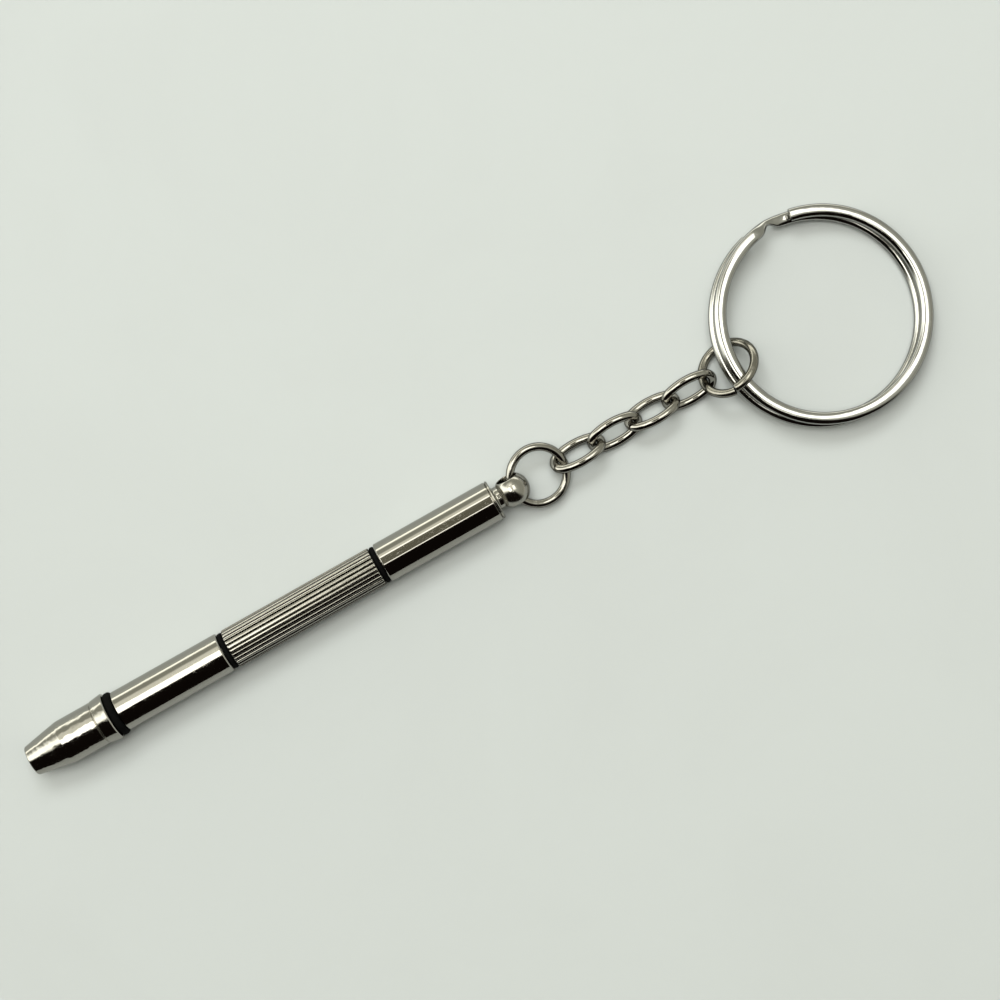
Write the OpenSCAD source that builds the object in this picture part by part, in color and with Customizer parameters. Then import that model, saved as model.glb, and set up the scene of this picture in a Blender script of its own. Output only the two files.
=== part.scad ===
// Pocket screwdriver on a key chain. A nose with a hex socket and two barrels screw onto
// a fluted grip that holds a slotted bit and a cross bit. A ball stud on the rear barrel
// carries a jump ring, four links, an end ring and a split ring.
// Lengths are in millimetres. The tool lies along X with its nose at the -X end, and the
// whole piece rests on the plane z = 0.

/* [Nose] */
// Diameter of the flat front face
tip_d = 4; // [3.4:0.1:5]
// Bevel round the front face
tip_bevel = 0.08; // [0.02:0.01:0.3]
// Length of the cone behind the front face
cone_len = 4.85; // [3:0.05:7]
// Diameter of the straight part
nose_d = 5.8; // [5:0.05:6.2]
// Front face to the middle of the turned line
nose_len = 9.8; // [8:0.1:12]
// Width of the turned line
line_w = 0.26; // [0.1:0.02:0.6]
// Depth of the turned line
line_depth = 0.13; // [0.05:0.01:0.4]
// Diameter of the collar beside the turned line
collar_front_d = 5.95; // [5.4:0.05:6.4]
// Largest diameter of the collar
collar_d = 6.35; // [5.8:0.05:7.5]
// Length of the collar
collar_len = 1.8; // [1.2:0.1:3]
// Bevel on the back of the collar
collar_bevel = 0.14; // [0.02:0.02:0.4]
// Hex socket across flats
socket_flats = 2.5; // [2:0.1:2.8]
// Hex socket depth
socket_depth = 4; // [2:0.1:5]
// Hole behind the hex socket
pilot_d = 2.2; // [1:0.1:2.4]

/* [Screw joints] */
// Outside diameter of the threaded spigots, as a share of the barrels' diameter
screw_share = 0.64; // [0.58:0.01:0.7]
// Thread length inside a barrel
screw_len = 5; // [3:0.1:6]
// Thread length inside the nose
nose_screw_len = 4; // [2.5:0.1:4.5]
// Clearance all round a thread
thread_fit = 0.06; // [0.03:0.01:0.15]
// Free bore past the end of a thread
bore_run = 0.4; // [0.2:0.05:0.8]
// Lead-in bevel on the spigots
screw_bevel = 0.3; // [0.1:0.05:0.5]

/* [O rings] */
// Outside diameter of the nose ring
nose_seal_d = 5.86; // [5.2:0.02:6.3]
// Width of the nose ring
nose_seal_w = 1; // [0.6:0.05:1.4]
// Outside diameter of the front ring
front_seal_d = 4.9; // [4.6:0.02:5.3]
// Width of the front ring
front_seal_w = 0.7; // [0.5:0.05:1.1]
// Outside diameter of the rear ring
rear_seal_d = 5; // [4.6:0.02:5.3]
// Width of the rear ring
rear_seal_w = 0.65; // [0.5:0.05:1.1]
// Rounding of the rings, as a share of the smaller side of their section
seal_round_share = 0.46; // [0.2:0.02:0.48]
// Clearance beside the rings
seal_fit = 0.03; // [0.02:0.01:0.08]

/* [Barrels] */
// Diameter of both barrels
barrel_d = 5.3; // [5:0.05:6]
// Length of the front barrel
front_barrel_len = 15.2; // [12:0.1:20]
// Length of the rear barrel
rear_barrel_len = 16.1; // [13:0.1:20]
// Bevel on the barrel ends
barrel_bevel = 0.14; // [0.02:0.02:0.4]
// Diameter of the chambers round the bits, as a share of the barrels' diameter
chamber_share = 0.49; // [0.42:0.01:0.56]
// Solid front of the front barrel
front_wall = 1.1; // [0.6:0.1:2]
// Room past the point of a bit
bit_room = 0.5; // [0.3:0.05:1]

/* [Grip] */
// Diameter over the ribs
grip_d = 5.2; // [4.8:0.05:6]
// Length of the fluted part
grip_len = 21.25; // [16:0.25:26]
// Number of flutes
flute_count = 26; // [12:1:32]
// Width of a flute
flute_w = 0.34; // [0.2:0.02:0.44]
// Depth of a flute
flute_depth = 0.15; // [0.08:0.01:0.25]
// Bevel on the ends of the fluted part
grip_bevel = 0.24; // [0.1:0.02:0.5]

/* [Bits] */
// Diameter of the bits
bit_d = 1.8; // [1.4:0.05:2]
// Length of a bit inside the grip
bit_set = 7.5; // [4:0.25:9]
// Length of the tapered blade
blade_len = 3.6; // [2:0.1:5]
// Thickness of the blade at its edge
blade_t = 0.36; // [0.2:0.02:0.6]
// Length of the cross point
point_len = 1.5; // [0.8:0.1:2.4]
// Diameter of the flat at the end of the cross point
point_d = 0.6; // [0.3:0.05:0.9]
// Length of the four flutes of the cross point
point_flute_len = 3; // [1.5:0.1:4]
// Thickness of the wings of the cross point
wing_t = 0.34; // [0.2:0.02:0.6]

/* [Ball stud] */
// Thickness of the flange that closes the rear barrel
flange_len = 0.35; // [0.2:0.05:0.8]
// Diameter of the plug inside the rear barrel, as a share of the barrel's diameter
plug_share = 0.6; // [0.54:0.01:0.7]
// Length of the plug
plug_len = 3; // [1.5:0.1:4]
// Clearance round pressed pieces
press_fit = 0.01; // [0.005:0.005:0.03]
// Diameter of the neck
neck_d = 2.9; // [2.2:0.05:3.4]
// Flange to the middle of the ball
neck_len = 2.4; // [2:0.05:3.5]
// Diameter of the ball
ball_d = 4.3; // [3.8:0.05:5]
// Hole through the ball
hole_d = 2.75; // [2.6:0.05:3]

/* [Jump ring] */
// Outside diameter of the jump ring
jump_d = 8.4; // [7.6:0.1:10]
// Wire of the jump ring
jump_wire = 1.07; // [0.8:0.01:1.15]
// How far the jump ring leans over sideways
jump_roll = 14; // [8:1:18]
// Wire in the hole, past the middle of the ball
jump_shift = 0.1; // [0:0.02:0.12]
// Seam between the ends of the jump ring
jump_seam = 0.12; // [0.06:0.02:0.4]

/* [Chain links] */
// Outside length of a link
link_len = 7.75; // [6.8:0.05:9]
// Outside width of a link
link_w = 4.8; // [4.5:0.05:5.6]
// Wire of a link
link_wire = 1.13; // [0.9:0.01:1.2]
// How far each link leans over, one way and then the other
link_roll = 46; // [42:1:48]
// Slack where two wires hook
chain_slack = 0.1; // [0.06:0.01:0.2]

/* [End ring] */
// Outside diameter of the end ring
end_d = 8.4; // [8:0.05:10]
// Wire of the end ring
end_wire = 1.1; // [0.9:0.01:1.15]
// How far the two halves of the end ring are bent apart
end_open = 4; // [2:0.5:5]
// Seam of the end ring, from the middle of its raised side
end_seam_turn = 3; // [0:1:8]
// Half of the seam's opening
end_seam_half = 2; // [1:0.5:4]
// Where the split ring passes, past the middle of the end ring
ring_seat = 0.65; // [0.5:0.05:1]
// Slack round the split ring where it passes
pass_slack = 0.2; // [0.14:0.02:0.26]

/* [Split ring] */
// Outside diameter of the split ring
split_d = 28; // [24:0.5:34]
// Width of its wire
split_w = 1.64; // [1.3:0.02:1.8]
// Height of its wire
split_h = 1.15; // [1:0.01:1.2]
// Gap between its two coils
split_gap = 0.45; // [0.42:0.01:0.5]
// How far the lower coil has sprung from the upper one, towards the chain
split_shift = 0.5; // [0:0.05:0.6]
// Rounding of the wire, as a share of its height
split_round_share = 0.43; // [0.3:0.01:0.48]
// Turn from X to the end of the upper coil
split_end_turn = 79.5; // [60:0.5:120]
// Turn that each coil runs level
split_run = 336; // [325:1:340]
// Turn over which the wire steps down from one coil to the other
split_step = 23.5; // [20:0.5:30]
// Rings along each level coil
split_run_rings = 40; // [24:1:60]
// Rings along the step
split_step_rings = 10; // [6:1:20]
// Points on each rounded corner of the wire
split_corner_points = 3; // [3:1:5]

/* [Hidden] */

// Overrun of every cut
over = 0.5;
// Where the arcs of an oval link meet: how far along, as a share of the line through their middles
meet_share = 0.352;
rise_share = sqrt(1 - meet_share * meet_share);
// Step of that line's length
reach_step = 0.125;

nickel = [0.79, 0.78, 0.75];
satin = [0.68, 0.67, 0.65];
rubber = [0.05, 0.05, 0.05];
tool_steel = [0.45, 0.45, 0.46];
ring_steel = [0.72, 0.72, 0.70];

screw_d = barrel_d * screw_share;
chamber_d = barrel_d * chamber_share;
plug_d = barrel_d * plug_share;

// Stations along the tool, from the front face of the nose
nose_back = nose_len + collar_len;
front_start = nose_back + nose_seal_w + 2 * seal_fit;
front_end = front_start + front_barrel_len;
grip_start = front_end + front_seal_w + 2 * seal_fit;
grip_end = grip_start + grip_len;
rear_start = grip_end + rear_seal_w + 2 * seal_fit;
rear_end = rear_start + rear_barrel_len;
flange_end = rear_end + flange_len;
ball_at = flange_end + neck_len;
screw_front = front_end - screw_len;
screw_rear = rear_start + screw_len;
nose_screw_front = nose_back - nose_screw_len;
plug_front = rear_end - plug_len;

// The bits fill the barrels but for their room
slotted_tip = front_start + front_wall + bit_room;
slotted_root = screw_front + bit_set;
phillips_tip = plug_front - bit_room;
phillips_root = screw_rear - bit_set;

// The tool lies on its collar and on the far end of its rear barrel
lean_from = nose_back - collar_bevel;
tool_lean = atan((collar_d - barrel_d) / 2 / (rear_end - lean_from));
tool_height = collar_d / 2 * cos(tool_lean) + lean_from * sin(tool_lean);
ball_x = ball_at * cos(tool_lean);
ball_z = tool_height - ball_at * sin(tool_lean);

// An oval link is two end arcs and two side arcs that meet smoothly
link_half_w = (link_w - link_wire) / 2;
link_gain = (link_len - link_w) / 2 / (meet_share + rise_share - 1);
link_reach = reach_step * round(link_gain / reach_step);
link_end_r = link_half_w - (1 - rise_share) * link_reach;
link_end_at = meet_share * link_reach;
link_half_len = link_end_r + link_end_at;
link_side_at = rise_share * link_reach;
link_side_r = link_end_r + link_reach;
chain_z = link_half_w * sin(link_roll) + link_wire / 2;

// Distance between the middles of two hooked wires: their radii and slack together, the
// sum of their bends (1 / 2r each) and the turn between their planes
function hook(near, bend, turn) =
  let (half = pow(sin(turn / 2), 2))
  bend * near <= 2 * half ? near : bend * near * near / (4 * half) + half / bend;

jump_r = (jump_d - jump_wire) / 2;
jump_in_x = ball_x + jump_shift;
jump_drop = asin((ball_z - chain_z) / (2 * jump_r));
jump_far_x = jump_in_x + 2 * jump_r * cos(jump_drop);
jump_hook = hook(
  (jump_wire + link_wire) / 2 + chain_slack,
  1 / (2 * jump_r) + 1 / (2 * link_end_r),
  link_roll + jump_roll
);
link_hook = hook(link_wire + chain_slack, 1 / link_end_r, min(2 * link_roll, 180 - 2 * link_roll));
link_pitch = 2 * link_half_len - link_hook;
link_first_x = jump_far_x - jump_hook + link_half_len;
link_last_x = link_first_x + 3 * link_pitch;

// The end ring leans over until the bundle of the split ring just passes through it
split_r = (split_d - split_w) / 2;
split_corner = split_h * split_round_share;
split_high = 2 * split_h + split_gap;
bundle_w = (split_w + split_shift) / 2 - split_corner;
bundle_h = split_high / 2 - split_corner;
bundle_r = sqrt(bundle_w * bundle_w + bundle_h * bundle_h) + split_corner;
end_r = (end_d - end_wire) / 2;
pass_share = pow((bundle_r + end_wire / 2 + pass_slack) / end_r, 2);
seat_share = pow(ring_seat / end_r, 2);
both_share = 1 - seat_share + pass_share;
end_roll_share = (both_share - sqrt(both_share * both_share - 4 * pass_share)) / 2;
end_roll = asin(sqrt(end_roll_share));
end_low_roll = end_roll - end_open;
end_low_share = pow(sin(end_low_roll), 2);
end_rise = (chain_z - end_wire / 2) / end_r;
pitch_square = end_low_share / (2 * end_rise);
pitch_rest = (end_low_share - end_rise * end_rise) / (2 * end_rise);
end_pitch = asin((sqrt(1 + 4 * pitch_square * pitch_rest) - 1) / (2 * pitch_square));
end_hook = hook(
  (link_wire + end_wire) / 2 + chain_slack,
  1 / (2 * end_r) + 1 / (2 * link_end_r),
  link_roll + end_low_roll
);
end_x = link_last_x + link_half_len - end_hook;

// Where the bundle of the split ring lies in the end ring
seat_lift = end_r * sin(end_open) * cos(end_low_roll) - end_r * (1 - cos(end_open)) * sin(end_low_roll);
seat_x = end_x + (end_r + ring_seat) * cos(end_pitch) - seat_lift * sin(end_pitch);
seat_z = chain_z + (end_r + ring_seat) * sin(end_pitch) + seat_lift * cos(end_pitch);
pass_along = ring_seat / (1 - end_roll_share);
pass_half = sqrt(end_r * end_r - pass_along * pass_along) * cos(end_roll);
split_from_seat = sqrt(split_r * split_r - pass_half * pass_half);
split_reach = split_from_seat + split_r + split_w / 2;
split_low_reach = split_reach - split_shift / 2;
split_span = sqrt(split_low_reach * split_low_reach + split_high * split_high / 4);
split_lean = asin(seat_z / split_span) - atan(split_high / 2 / split_low_reach);

// The middle of the whole length is the origin
far_x = seat_x + (split_reach + split_shift / 2 - split_corner) * cos(split_lean)
  + (split_high / 2 - split_corner) * sin(split_lean) + split_corner;
near_x = -tip_d / 2 * sin(tool_lean);
middle_x = (near_x + far_x) / 2;

module placed() {
  translate([-middle_x, 0, 0]) children();
}

module on_tool() {
  placed() translate([0, 0, tool_height]) rotate([0, tool_lean, 0]) children();
}

// A turned piece along X from its outline of radius and station
module turned(outline) {
  rotate([0, 90, 0]) rotate_extrude() polygon(outline);
}

// A round bar or bore along X
module along(d, from, to) {
  translate([from, 0, 0]) rotate([0, 90, 0]) cylinder(d = d, h = to - from);
}

module o_ring(d, w, start) {
  inner = screw_d / 2 + seal_fit;
  outer = d / 2;
  corner = min(w, outer - inner) * seal_round_share;
  translate([start + seal_fit, 0, 0]) rotate([0, 90, 0]) rotate_extrude() {
    translate([inner + corner, 0]) square([outer - inner - 2 * corner, w]);
    translate([inner, corner]) square([outer - inner, w - 2 * corner]);
    for (x = [inner + corner, outer - corner], y = [corner, w - corner])
      translate([x, y]) circle(r = corner);
  }
}

// Part of a wire ring about Z, from one turn through another
module wire_arc(r, wire, from, turn) {
  rotate([0, 0, from]) rotate_extrude(angle = turn) translate([r, 0]) circle(d = wire);
}

// The part of a wire ring about Z that lies over an outline
module wire_part(r, wire, outline) {
  intersection() {
    rotate_extrude() translate([r, 0]) circle(d = wire);
    translate([0, 0, -wire]) linear_extrude(2 * wire) polygon(outline);
  }
}

module nose() {
  color(nickel) on_tool() difference() {
    turned([
      [0, 0],
      [tip_d / 2 - tip_bevel, 0],
      [tip_d / 2, tip_bevel],
      [nose_d / 2, cone_len],
      [nose_d / 2, nose_len - line_w / 2],
      [nose_d / 2 - line_depth, nose_len],
      [collar_front_d / 2, nose_len + line_w / 2],
      [collar_d / 2, nose_back - collar_bevel],
      [collar_d / 2 - collar_bevel, nose_back],
      [0, nose_back]
    ]);
    translate([-over, 0, 0]) rotate([0, 90, 0])
      cylinder(d = socket_flats / cos(30), h = socket_depth + over, $fn = 6);
    along(pilot_d, -over, nose_screw_front);
    along(screw_d + 2 * thread_fit, nose_screw_front - bore_run, nose_back + over);
  }
}

module nose_o_ring() {
  color(rubber) on_tool() o_ring(nose_seal_d, nose_seal_w, nose_back);
}

module front_barrel() {
  color(nickel) on_tool() difference() {
    turned([
      [0, nose_screw_front],
      [screw_d / 2 - screw_bevel, nose_screw_front],
      [screw_d / 2, nose_screw_front + screw_bevel],
      [screw_d / 2, front_start],
      [barrel_d / 2 - barrel_bevel, front_start],
      [barrel_d / 2, front_start + barrel_bevel],
      [barrel_d / 2, front_end - barrel_bevel],
      [barrel_d / 2 - barrel_bevel, front_end],
      [0, front_end]
    ]);
    along(chamber_d, front_start + front_wall, front_end);
    along(screw_d + 2 * thread_fit, screw_front - bore_run, front_end + over);
  }
}

module front_o_ring() {
  color(rubber) on_tool() o_ring(front_seal_d, front_seal_w, front_end);
}

module grip() {
  flute_r = (flute_w * flute_w / 4 + flute_depth * flute_depth) / (2 * flute_depth);
  flute_at = grip_d / 2 - flute_depth + flute_r;
  color(satin) on_tool() difference() {
    turned([
      [0, screw_front],
      [screw_d / 2 - screw_bevel, screw_front],
      [screw_d / 2, screw_front + screw_bevel],
      [screw_d / 2, grip_start],
      [grip_d / 2 - grip_bevel, grip_start],
      [grip_d / 2, grip_start + grip_bevel],
      [grip_d / 2, grip_end - grip_bevel],
      [grip_d / 2 - grip_bevel, grip_end],
      [screw_d / 2, grip_end],
      [screw_d / 2, screw_rear - screw_bevel],
      [screw_d / 2 - screw_bevel, screw_rear],
      [0, screw_rear]
    ]);
    for (i = [0 : flute_count - 1])
      rotate([i * 360 / flute_count, 0, 0]) translate([0, 0, flute_at])
        along(2 * flute_r, grip_start - over, grip_end + over);
    along(bit_d + 2 * press_fit, screw_front - over, slotted_root);
    along(bit_d + 2 * press_fit, phillips_root, screw_rear + over);
  }
}

module slotted_bit() {
  color(tool_steel) on_tool() difference() {
    along(bit_d, slotted_tip, slotted_root);
    for (side = [0, 180])
      rotate([side, 0, 0]) translate([0, bit_d / 2 + over, 0]) rotate([90, 0, 0])
        linear_extrude(height = bit_d + 2 * over) polygon([
          [slotted_tip, blade_t / 2],
          [slotted_tip + blade_len, bit_d / 2],
          [slotted_tip + blade_len, bit_d / 2 + over],
          [slotted_tip - over, bit_d / 2 + over],
          [slotted_tip - over, blade_t / 2]
        ]);
  }
}

module phillips_bit() {
  run_out = atan((bit_d - wing_t) / 2 / point_flute_len);
  color(tool_steel) on_tool() difference() {
    turned([
      [0, phillips_root],
      [bit_d / 2, phillips_root],
      [bit_d / 2, phillips_tip - point_len],
      [point_d / 2, phillips_tip],
      [0, phillips_tip]
    ]);
    for (i = [0 : 3])
      rotate([45 + i * 90, 0, 0]) translate([phillips_tip, 0, wing_t / 2]) rotate([0, run_out, 0])
        rotate([45, 0, 0]) translate([-bit_d * point_flute_len, 0, 0])
          cube([2 * bit_d * point_flute_len, bit_d, bit_d]);
  }
}

module rear_o_ring() {
  color(rubber) on_tool() o_ring(rear_seal_d, rear_seal_w, grip_end);
}

module rear_barrel() {
  color(satin) on_tool() difference() {
    turned([
      [0, rear_start],
      [barrel_d / 2 - barrel_bevel, rear_start],
      [barrel_d / 2, rear_start + barrel_bevel],
      [barrel_d / 2, rear_end - barrel_bevel],
      [barrel_d / 2 - barrel_bevel, rear_end],
      [0, rear_end]
    ]);
    along(chamber_d, rear_start, rear_end);
    along(screw_d + 2 * thread_fit, rear_start - over, screw_rear + bore_run);
    along(plug_d + 2 * press_fit, plug_front - press_fit, rear_end + over);
  }
}

module ball_stud() {
  color(satin) on_tool() difference() {
    union() {
      turned([
        [0, plug_front],
        [plug_d / 2, plug_front],
        [plug_d / 2, rear_end],
        [barrel_d / 2 - barrel_bevel, rear_end],
        [barrel_d / 2, rear_end + barrel_bevel],
        [barrel_d / 2, flange_end - barrel_bevel],
        [barrel_d / 2 - barrel_bevel, flange_end],
        [neck_d / 2, flange_end],
        [neck_d / 2, ball_at],
        [0, ball_at]
      ]);
      translate([ball_at, 0, 0]) sphere(d = ball_d);
    }
    // The hole leans over with the jump ring
    translate([ball_at, 0, 0]) rotate([90 + jump_roll, 0, 0])
      cylinder(d = hole_d, h = 2 * ball_d, center = true);
  }
}

module jump_ring() {
  seam = asin(jump_seam / jump_r);
  color(nickel) placed() translate([jump_in_x, 0, ball_z]) rotate([0, jump_drop, 0])
    rotate([jump_roll, 0, 0]) translate([jump_r, 0, 0])
      wire_arc(jump_r, jump_wire, 180 + seam / 2, 360 - seam);
}

module chain_link(i) {
  color(nickel) placed() translate([link_first_x + i * link_pitch, 0, chain_z])
    rotate([i % 2 == 0 ? -link_roll : link_roll, 0, 0]) for (side = [0, 180]) rotate([0, 0, side]) {
      translate([link_end_at, 0, 0]) wire_part(link_end_r, link_wire, 2 * link_reach * [
        [0, 0],
        [meet_share, -rise_share],
        [1, -rise_share],
        [1, rise_share],
        [meet_share, rise_share]
      ]);
      translate([0, -link_side_at, 0]) wire_part(link_side_r, link_wire, 2 * link_reach * [
        [0, 0],
        [meet_share, rise_share],
        [-meet_share, rise_share]
      ]);
    }
}

module end_ring() {
  low_end = 270 - end_seam_turn - end_seam_half;
  high_end = 270 - end_seam_turn + end_seam_half;
  color(nickel) placed() translate([end_x, 0, chain_z]) rotate([0, -end_pitch, 0])
    rotate([-end_low_roll, 0, 0]) {
      translate([end_r, 0, 0]) wire_part(end_r, end_wire, end_d * [
        [0, 0],
        [0, 1],
        [-1, 1],
        [-1, -1],
        [cos(low_end), sin(low_end)]
      ]);
      translate([end_r, end_r, 0]) rotate([-end_open, 0, 0]) translate([0, -end_r, 0])
        wire_part(end_r, end_wire, end_d * [
          [0, 0],
          [cos(high_end), sin(high_end)],
          [1, -1],
          [1, 1],
          [0, 1]
        ]);
    }
}

// The split ring is one wire: an upper coil, a step down and a lower coil
function ease(t) = t * t * (3 - 2 * t);
function split_sunk(s) = ease(min(1, max(0, (s - split_run) / split_step)));
function split_section() = [
  for (q = [0 : 3], k = [0 : split_corner_points - 1])
    let (
      turn = 90 * (q + k / (split_corner_points - 1)),
      across = q == 0 || q == 3 ? 1 : -1,
      up = q < 2 ? 1 : -1
    )
    [
      across * (split_w / 2 - split_corner) + split_corner * cos(turn),
      up * (split_h / 2 - split_corner) + split_corner * sin(turn)
    ]
];
split_stations = concat(
  [for (i = [0 : split_run_rings - 1]) split_run * i / split_run_rings],
  [for (i = [0 : split_step_rings - 1]) split_run + split_step * i / split_step_rings],
  [for (i = [0 : split_run_rings]) split_run + split_step + split_run * i / split_run_rings]
);
function split_ring_points(s, section) =
  let (
    turn = split_end_turn - s,
    sunk = split_sunk(s),
    level = (split_h + split_gap) * (1 - 2 * sunk) / 2,
    side = split_shift * (1 - 2 * sunk) / 2
  )
  [for (p = section) [(split_r + p[0]) * cos(turn) + side, (split_r + p[0]) * sin(turn), level + p[1]]];

// Least gap between points of the two coils that lie near one above the other
function split_least_gap(rings) =
  min([
    for (i = [0 : len(rings) - 1], j = [i : len(rings) - 1])
      let (apart = split_stations[j] - split_stations[i] - 360)
      if (abs(apart) < split_step / 2)
        min([for (p = rings[i], q = rings[j]) norm(p - q)])
  ]);

module split_ring() {
  section = split_section();
  rings = [for (s = split_stations) split_ring_points(s, section)];
  m = len(section);
  last = len(rings) - 1;
  echo(split_least_gap = split_least_gap(rings));
  color(ring_steel) placed() translate([seat_x, 0, seat_z]) rotate([0, split_lean, 0])
    translate([split_from_seat, 0, 0]) polyhedron(
      points = [for (ring = rings, p = ring) p],
      faces = concat(
        [[for (k = [0 : m - 1]) m - 1 - k]],
        [[for (k = [0 : m - 1]) last * m + k]],
        [
          for (i = [0 : last - 1], k = [0 : m - 1], half = [0, 1])
            half == 0
              ? [i * m + k, i * m + (k + 1) % m, (i + 1) * m + (k + 1) % m]
              : [i * m + k, (i + 1) * m + (k + 1) % m, (i + 1) * m + k]
        ]
      )
    );
}

nose();
nose_o_ring();
front_barrel();
front_o_ring();
grip();
slotted_bit();
phillips_bit();
rear_o_ring();
rear_barrel();
ball_stud();
jump_ring();
chain_link(0);  // chain_link_1
chain_link(1);  // chain_link_2
chain_link(2);  // chain_link_3
chain_link(3);  // chain_link_4
end_ring();
split_ring();
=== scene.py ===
from math import acos, asin, atan2, ceil, cos, degrees, exp, pi, radians, sin, sqrt, tan

import bmesh
import bpy
from mathutils import Matrix, Vector


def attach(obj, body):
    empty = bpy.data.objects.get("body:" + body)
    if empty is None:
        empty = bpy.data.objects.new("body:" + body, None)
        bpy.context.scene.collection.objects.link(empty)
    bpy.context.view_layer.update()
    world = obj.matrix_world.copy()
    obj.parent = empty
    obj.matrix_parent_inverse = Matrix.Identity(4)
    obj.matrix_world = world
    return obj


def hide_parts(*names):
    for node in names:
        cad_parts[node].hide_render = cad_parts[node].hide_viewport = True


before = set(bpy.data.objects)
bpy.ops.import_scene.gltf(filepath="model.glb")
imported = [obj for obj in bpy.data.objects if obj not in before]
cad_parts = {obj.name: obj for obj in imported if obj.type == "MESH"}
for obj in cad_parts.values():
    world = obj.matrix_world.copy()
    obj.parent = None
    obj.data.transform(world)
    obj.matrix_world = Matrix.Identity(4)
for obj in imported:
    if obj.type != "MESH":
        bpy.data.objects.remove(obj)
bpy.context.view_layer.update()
print("frame loaded:", len(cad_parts), "nodes")

# Sizes are in millimetres, and stations run along the tool from the front face of the nose.
mm = 0.001
tool = dict(middle=64.2145, height=3.28381, lean=0.544719)
screw = dict(pitch=0.6, radius=1.696, fit=0.06, depth=0.2, taper=0.3, crest=0.12, flank=0.76, rowsPerTurn=10)
# Edges: sharp and arcStep in degrees, support and mostOfSide as shares, seamRun in millimetres.
edges = dict(sharp=38, arcStep=15, support=1.2, mostOfSide=0.4, seamRun=0.1)
upward = Vector((0, 0, 1))


def shift(x=0.0, y=0.0, z=0.0):
    return Matrix.Translation((x, y, z))


def spin(turn, axis):
    return Matrix.Rotation(radians(turn), 4, axis)


inRow = Matrix.Scale(mm, 4) @ shift(x=-tool["middle"])
onTool = inRow @ shift(z=tool["height"]) @ spin(tool["lean"], "Y")


def smooth(t):
    # from zero to one, level at both ends
    return t * t * (3 - 2 * t)


def bell(t, at, wide):
    # a soft bump of height one
    return exp(-(((t - at) / wide) ** 2))


# Surfaces of revolution and swept wires
def easedOutline(points, loop=False):
    # corners (station, radius, rounding) become small arcs, with a support ring beside each
    fine = []
    count = len(points)
    for i, (x, r, rounding) in enumerate(points):
        corner = Vector((x, r))
        if rounding == 0 or (not loop and i in (0, count - 1)):
            fine.append((x, r))
            continue
        before = Vector(points[i - 1][:2]) - corner
        after = Vector(points[(i + 1) % count][:2]) - corner
        u, w = before.normalized(), after.normalized()
        half = acos(max(-1, min(1, u.dot(w)))) / 2
        cut = min(rounding / tan(half), edges["mostOfSide"] * min(before.length, after.length))
        radius = cut * tan(half)
        centre = corner + (u + w).normalized() * (radius / sin(half))
        a, b = (corner + u * cut - centre) / radius, (corner + w * cut - centre) / radius
        turn = pi - 2 * half
        steps = max(2, ceil(degrees(turn) / edges["arcStep"]))
        fine.append(tuple(corner + u * cut * edges["support"]))
        for k in range(steps + 1):
            part = k / steps
            d = (a * sin(turn * (1 - part)) + b * sin(turn * part)) / sin(turn)
            fine.append(tuple(centre + d * radius))
        fine.append(tuple(corner + w * cut * edges["support"]))
    return fine


def threadRows(start, end, base):
    # a right-handed thread whose depth fades in and out at its ends
    rows = []
    pitch = screw["pitch"]
    count = ceil(abs(end - start) / pitch * screw["rowsPerTurn"])
    for k in range(count + 1):
        x = start + (end - start) * k / count
        fade = min(1, abs(x - start) / pitch, abs(end - x) / pitch)

        def radius(turn, x=x, fade=fade):
            flank = abs((x / pitch - turn / (2 * pi)) % 1 - 0.5) * 2
            flank = min(1, max(0, (flank - screw["crest"]) / screw["flank"]))
            return base - screw["depth"] * fade * smooth(flank)

        rows.append((x, radius))
    return rows


def ringRow(x, radius, columns):
    if not callable(radius) and radius == 0:
        return [Vector((x, 0, 0))]
    # the seam lies underneath
    row = []
    for j in range(columns):
        turn = 2 * pi * j / columns - pi / 2
        r = radius(turn) if callable(radius) else radius
        row.append(Vector((x, r * cos(turn), r * sin(turn))))
    return row


def skin(rows, runs, girth, loop=False, caps=False):
    # rows of points become one closed skin; UV "run" holds millimetres along and around
    bm = bmesh.new()
    uv = bm.loops.layers.uv.new("run")
    made = [[bm.verts.new(p) for p in row] for row in rows]
    ends = runs[1:] + [runs[-1] + edges["seamRun"]]

    def face(corners):
        new = bm.faces.new([c[0] for c in corners])
        new.smooth = True
        for corner, c in zip(new.loops, corners):
            corner[uv].uv = c[1:]

    for i in range(len(rows) if loop else len(rows) - 1):
        a, b = made[i], made[(i + 1) % len(rows)]
        ua, ub = runs[i], ends[i]
        if len(b) > len(a):
            a, b, ua, ub = b, a, ub, ua
        if len(b) == 1:
            for j in range(len(a)):
                va, vb = girth * j / len(a), girth * (j + 1) / len(a)
                face([(a[j], ua, va), (a[(j + 1) % len(a)], ua, vb), (b[0], ub, (va + vb) / 2)])
            continue
        step = len(a) // len(b)
        for j in range(len(b)):
            after = (j + 1) % len(b)
            corners = [(b[after], ub, girth * (j + 1) / len(b)), (b[j], ub, girth * j / len(b))]
            for k in range(j * step, (j + 1) * step + 1):
                corners.append((a[k % len(a)], ua, girth * k / len(a)))
            face(corners)
    if caps:
        for row, u in ((made[0], runs[0]), (made[-1], runs[-1])):
            face([(v, u, girth * j / len(row)) for j, v in enumerate(row)])
    bmesh.ops.recalc_face_normals(bm, faces=bm.faces)
    mesh = bpy.data.meshes.new("skin")
    bm.to_mesh(mesh)
    bm.free()
    mesh.set_sharp_from_angle(angle=radians(edges["sharp"]))
    return mesh


def runsAlong(points):
    # how far along its line each point lies
    runs = [0.0]
    for a, b in zip(points, points[1:]):
        runs.append(runs[-1] + (b - a).length)
    return runs


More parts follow.
